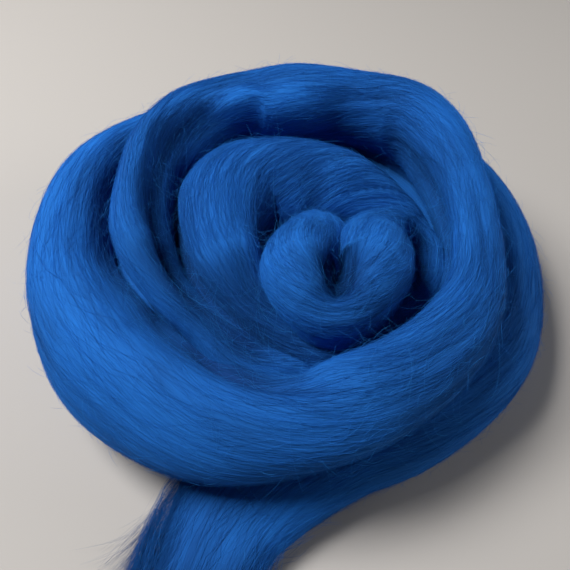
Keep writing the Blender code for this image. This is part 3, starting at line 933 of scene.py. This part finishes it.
def laid_fibres(rng, count):
    """Fibres along the loose end, which fan out and thin past it: paths, ways out and shades."""
    last = LENGTHS[-1]
    lengths = rng.uniform(*LOOSE_LENGTHS, (count, 1))
    middles = rng.uniform(length_at(WISP_FIRST + 0.6), last - 3, (count, 1))
    side = np.cos(rng.uniform(0, math.pi, (count, 1))) * rng.uniform(0.8, 1, (count, 1))
    off = np.linspace(-0.5, 0.5, LOOSE_POINTS)[None, :] * lengths
    beyond = np.maximum(middles + off - last, 0)
    at = place_at(middles + off)
    waves, start = rng.uniform(*LOOSE_WAVES, (count, 1)), rng.uniform(0, FULL_TURN, (count, 1))
    aside = rng.uniform(*LOOSE_WANDER, (count, 1)) * np.sin(FULL_TURN * off / waves + start)
    aside = aside + off * np.tan(np.radians(rng.normal(0, 4, (count, 1))))
    half = section_at(at)[..., WIDTH] / 2
    over = side + aside / np.maximum(half, 4)
    on_skin = np.clip(over, -1, 1)
    angles = np.arccos(on_skin)
    layer = rng.uniform(0.0, 1, (count, 1)) ** 0.35
    height = rng.normal(0.1, 0.3, (count, 1)) + rng.normal(0, 0.15, (count, LOOSE_POINTS))
    paths, outs = skin(at, angles, height)
    along, outward, _ = run_of(at)
    past_edge = np.sign(side) * (abs(side) > OUTERMOST) * rng.uniform(*SPILL, (count, 1))
    paths = paths + outward * ((over - on_skin) * half + past_edge)[..., None]
    curve = rng.normal(0, TIP_BEND, (count, 1)) * beyond ** 2
    fan = FAN * side * beyond + rng.normal(0, FAN_SPREAD, (count, 1)) * beyond + curve
    paths = paths + unit(along * (1, 1, 0)) * beyond[..., None] + outward * fan[..., None]
    paths[..., 2] = paths[..., 2] * layer * np.exp(-beyond / SINK)
    paths[..., 2] = np.maximum(paths[..., 2], LOWEST + rng.uniform(0, 0.5, (count, 1)))
    patches = soft_noise(*LOOSE_PATCHES, angles[:, 0], at[:, LOOSE_POINTS // 2])
    return paths, outs, LOOSE_MIDDLE + LOOSE_PATCH * patches + rng.normal(0, LOOSE_OWN, count)


def fringe_fibres(rng, count):
    """Fibres off the edges of the loose end, most of them at its left: paths, ways out, shades."""
    roots = rng.uniform(WISP_FIRST + 0.9, LAST - 0.6, count)
    left = rng.uniform(size=count) < FRINGE_LEFT
    facing = np.where(left, -1, 1)
    round_edge = facing * rng.uniform(*FRINGE_ROUND, count) ** 1.5
    edge, _ = skin(roots, np.where(left, math.pi, 0) + round_edge)
    along, outward, _ = run_of(roots)
    swing = (np.radians(abs(rng.normal(0, FRINGE_SWING, count)) + 1) * facing)[:, None]
    length = rng.uniform(*FRINGE_LENGTHS, (count, 1))
    share = np.linspace(-0.3, 0.7, LOOSE_POINTS)[None, :]
    sway = rng.normal(0, FRINGE_BEND, (count, 1))
    ahead = unit(along * (1, 1, 0)) * np.cos(swing) + outward * np.sin(swing)
    across_way = np.stack((-ahead[:, 1], ahead[:, 0], 0 * ahead[:, 0]), axis=-1)
    run = share * length
    high, waves = rng.uniform(*FRINGE_WANDER, (count, 1)), rng.uniform(*FRINGE_WAVES, (count, 1))
    wave = high * np.sin(run / waves + rng.uniform(0, 6, (count, 1)))
    paths = edge[:, None] + ahead[:, None] * run[..., None]
    paths = paths + across_way[:, None] * (sway * run ** 2 + wave)[..., None]
    paths[..., 2] = edge[:, None, 2] * np.clip(0.8 - share, 0.05, 1) + rng.uniform(0, 0.8, (count, 1))
    paths[..., 2] = np.maximum(paths[..., 2], FRINGE_LOWEST)
    return paths, np.broadcast_to((0.0, 0.0, 1.0), paths.shape), rng.uniform(*FRINGE_SHADES, count)


def loose_fibres(looks):
    """Fibres of the loose end, with a soft fringe along its edges."""
    rng = np.random.default_rng((looks.seed, LOOSE_SEED))
    both = laid_fibres(rng, looks.loose), fringe_fibres(rng, looks.fringe)
    paths, outs, shades = (np.concatenate(each) for each in zip(*both))
    widths = rng.uniform(*LOOSE_WIDTHS, looks.loose), rng.uniform(*FRINGE_WIDTHS, looks.fringe)
    across = looks.thickness / MM * np.concatenate(widths)
    return fibre_mesh("fibres_loose_end", paths, outs, across, shades)


# ---------------------------------------------------------------- operators


def lay_floor(looks):
    """A plain floor under the nest."""
    material = bpy.data.materials.new("plain_floor")
    material.use_nodes = True
    shader = material.node_tree.nodes["Principled BSDF"]
    shader.inputs["Base Color"].default_value = looks.floor
    shader.inputs["Roughness"].default_value = FLOOR_ROUGHNESS
    mesh = bpy.data.meshes.new("floor")
    bm = bmesh.new()
    bmesh.ops.create_grid(bm, x_segments=1, y_segments=1, size=FLOOR_REACH)
    bm.to_mesh(mesh)
    bm.free()
    mesh.materials.append(material)
    floor = bpy.data.objects.new("floor", mesh)
    bpy.context.scene.collection.objects.link(floor)


def hang_lights(looks):
    """The soft lights, which face the origin, and the even light from all round."""
    scene = bpy.context.scene
    for each in LIGHTS:
        lamp = bpy.data.lights.new(each.name, "AREA")
        lamp.size = each.size
        lamp.energy = looks.key * each.share
        light = bpy.data.objects.new(each.name, lamp)
        light.location = each.place
        light.rotation_euler = (-Vector(each.place)).to_track_quat("-Z", "Y").to_euler()
        scene.collection.objects.link(light)
    world = bpy.data.worlds.new("soft_sky")
    world.use_nodes = True
    world.node_tree.nodes["Background"].inputs["Color"].default_value = SKY_COLOUR
    world.node_tree.nodes["Background"].inputs["Strength"].default_value = looks.sky
    scene.world = world
    scene.view_settings.view_transform = "Standard"


def set_camera():
    """The camera that looks down on the nest from the front."""
    lens = bpy.data.cameras.new("camera")
    lens.sensor_width = CAMERA_LENS
    lens.lens = CAMERA_LENS
    lens.clip_start = CAMERA_NEAR
    camera = bpy.data.objects.new("camera", lens)
    down = math.radians(CAMERA_DOWN)
    camera.location = (0, -CAMERA_REACH * math.cos(down), CAMERA_REACH * math.sin(down))
    camera.rotation_euler = (math.pi / 2 - down, 0, 0)
    bpy.context.scene.collection.objects.link(camera)
    bpy.context.scene.camera = camera


class ROVING_OT_stage(bpy.types.Operator):
    """Sets the plain floor, the soft light and the camera that looks down on the nest"""

    bl_idname = "roving.stage"
    bl_label = "Stage"

    def execute(self, context):
        lay_floor(context.scene.roving_stage)
        hang_lights(context.scene.roving_stage)
        set_camera()
        return {"FINISHED"}


class ROVING_OT_rope(bpy.types.Operator):
    """Winds the rope itself, with the soft ridges of its combed fibres"""

    bl_idname = "roving.rope"
    bl_label = "Wound Rope"

    def execute(self, context):
        looks = context.scene.roving_looks
        body = wool("roving_body", looks.deep, looks.bright, streaked=True)
        rope = add_piece("wound_rope", rolled_rope("wound_rope", 0, ROPE_LAST), body)
        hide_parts("wound_roving")
        under = wool("buried_wool", looks.deep, looks.bright, streaked=True)
        add_piece("buried_turns", turned_bun("buried_turns"), under)
        return {"FINISHED"}


class ROVING_OT_fibres(bpy.types.Operator):
    """Lays the combed fibres that show on every turn of the rope"""

    bl_idname = "roving.fibres"
    bl_label = "Combed Fibres"

    def execute(self, context):
        looks = context.scene.roving_looks
        rope, solid = rope_and_solid()
        material = wool("combed_fibres", looks.deep, looks.bright)
        for turn in TURNS_OF_FIBRE:
            add_piece(turn.piece, fibres_of_turn(turn, looks, rope, solid), material)
        return {"FINISHED"}


class ROVING_OT_strays(bpy.types.Operator):
    """Scatters single curling fibres over the nest and across its creases"""

    bl_idname = "roving.strays"
    bl_label = "Stray Fibres"

    def execute(self, context):
        looks = context.scene.roving_looks
        rope, solid = rope_and_solid()
        # Painted light: strays and fuzz get a lighter copy of the wool, from Bright to Stray.
        material = wool("stray_fibres", looks.bright, looks.stray)
        add_piece("strays", stray_fibres(looks, rope, solid), material)
        add_piece("fuzz", fuzz_fibres(looks, rope, solid), material)
        return {"FINISHED"}


class ROVING_OT_loose_end(bpy.types.Operator):
    """Lays the loose end on the table, with the fibres that fan out of it"""

    bl_idname = "roving.loose_end"
    bl_label = "Loose End"

    def execute(self, context):
        looks = context.scene.roving_looks
        body = wool("roving_body", looks.deep, looks.bright, streaked=True)
        wisp = add_piece("loose_wisp", rolled_rope("loose_wisp", WISP_FIRST, LAST, loose=True), body)
        # Painted shade: the loose end's fibres get a darker copy of the wool.
        bright = [LOOSE_SHADED_BRIGHT * part for part in looks.bright[:3]] + [1]
        fibres = add_piece("fibres_loose_end", loose_fibres(looks), wool("loose_fibres", looks.deep, bright))
        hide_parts("loose_end")
        return {"FINISHED"}


class ROVING_PT_panel(bpy.types.Panel):
    """Everything that dresses the nest, and the sizes and colours to change"""

    bl_label = "Wool Roving"
    bl_idname = "ROVING_PT_panel"
    bl_space_type = "VIEW_3D"
    bl_region_type = "UI"
    bl_category = "Roving"

    def draw(self, context):
        for operator in OPERATORS:
            self.layout.operator(operator.bl_idname)
        for looks in (context.scene.roving_looks, context.scene.roving_stage):
            box = self.layout.box()
            for name in looks.__annotations__:
                box.prop(looks, name)


OPERATORS = (ROVING_OT_stage, ROVING_OT_rope, ROVING_OT_fibres, ROVING_OT_strays, ROVING_OT_loose_end)
CLASSES = (RovingLooks, StageLooks, *OPERATORS, ROVING_PT_panel)


def register():
    for each in CLASSES:
        bpy.utils.register_class(each)
    bpy.types.Scene.roving_looks = bpy.props.PointerProperty(type=RovingLooks)
    bpy.types.Scene.roving_stage = bpy.props.PointerProperty(type=StageLooks)


def unregister():
    del bpy.types.Scene.roving_stage
    del bpy.types.Scene.roving_looks
    for each in reversed(CLASSES):
        bpy.utils.unregister_class(each)


def main():
    register()
    bpy.ops.roving.stage()
    bpy.ops.roving.rope()
    bpy.ops.roving.fibres()
    bpy.ops.roving.strays()
    bpy.ops.roving.loose_end()


if __name__ == "__main__":
    main()
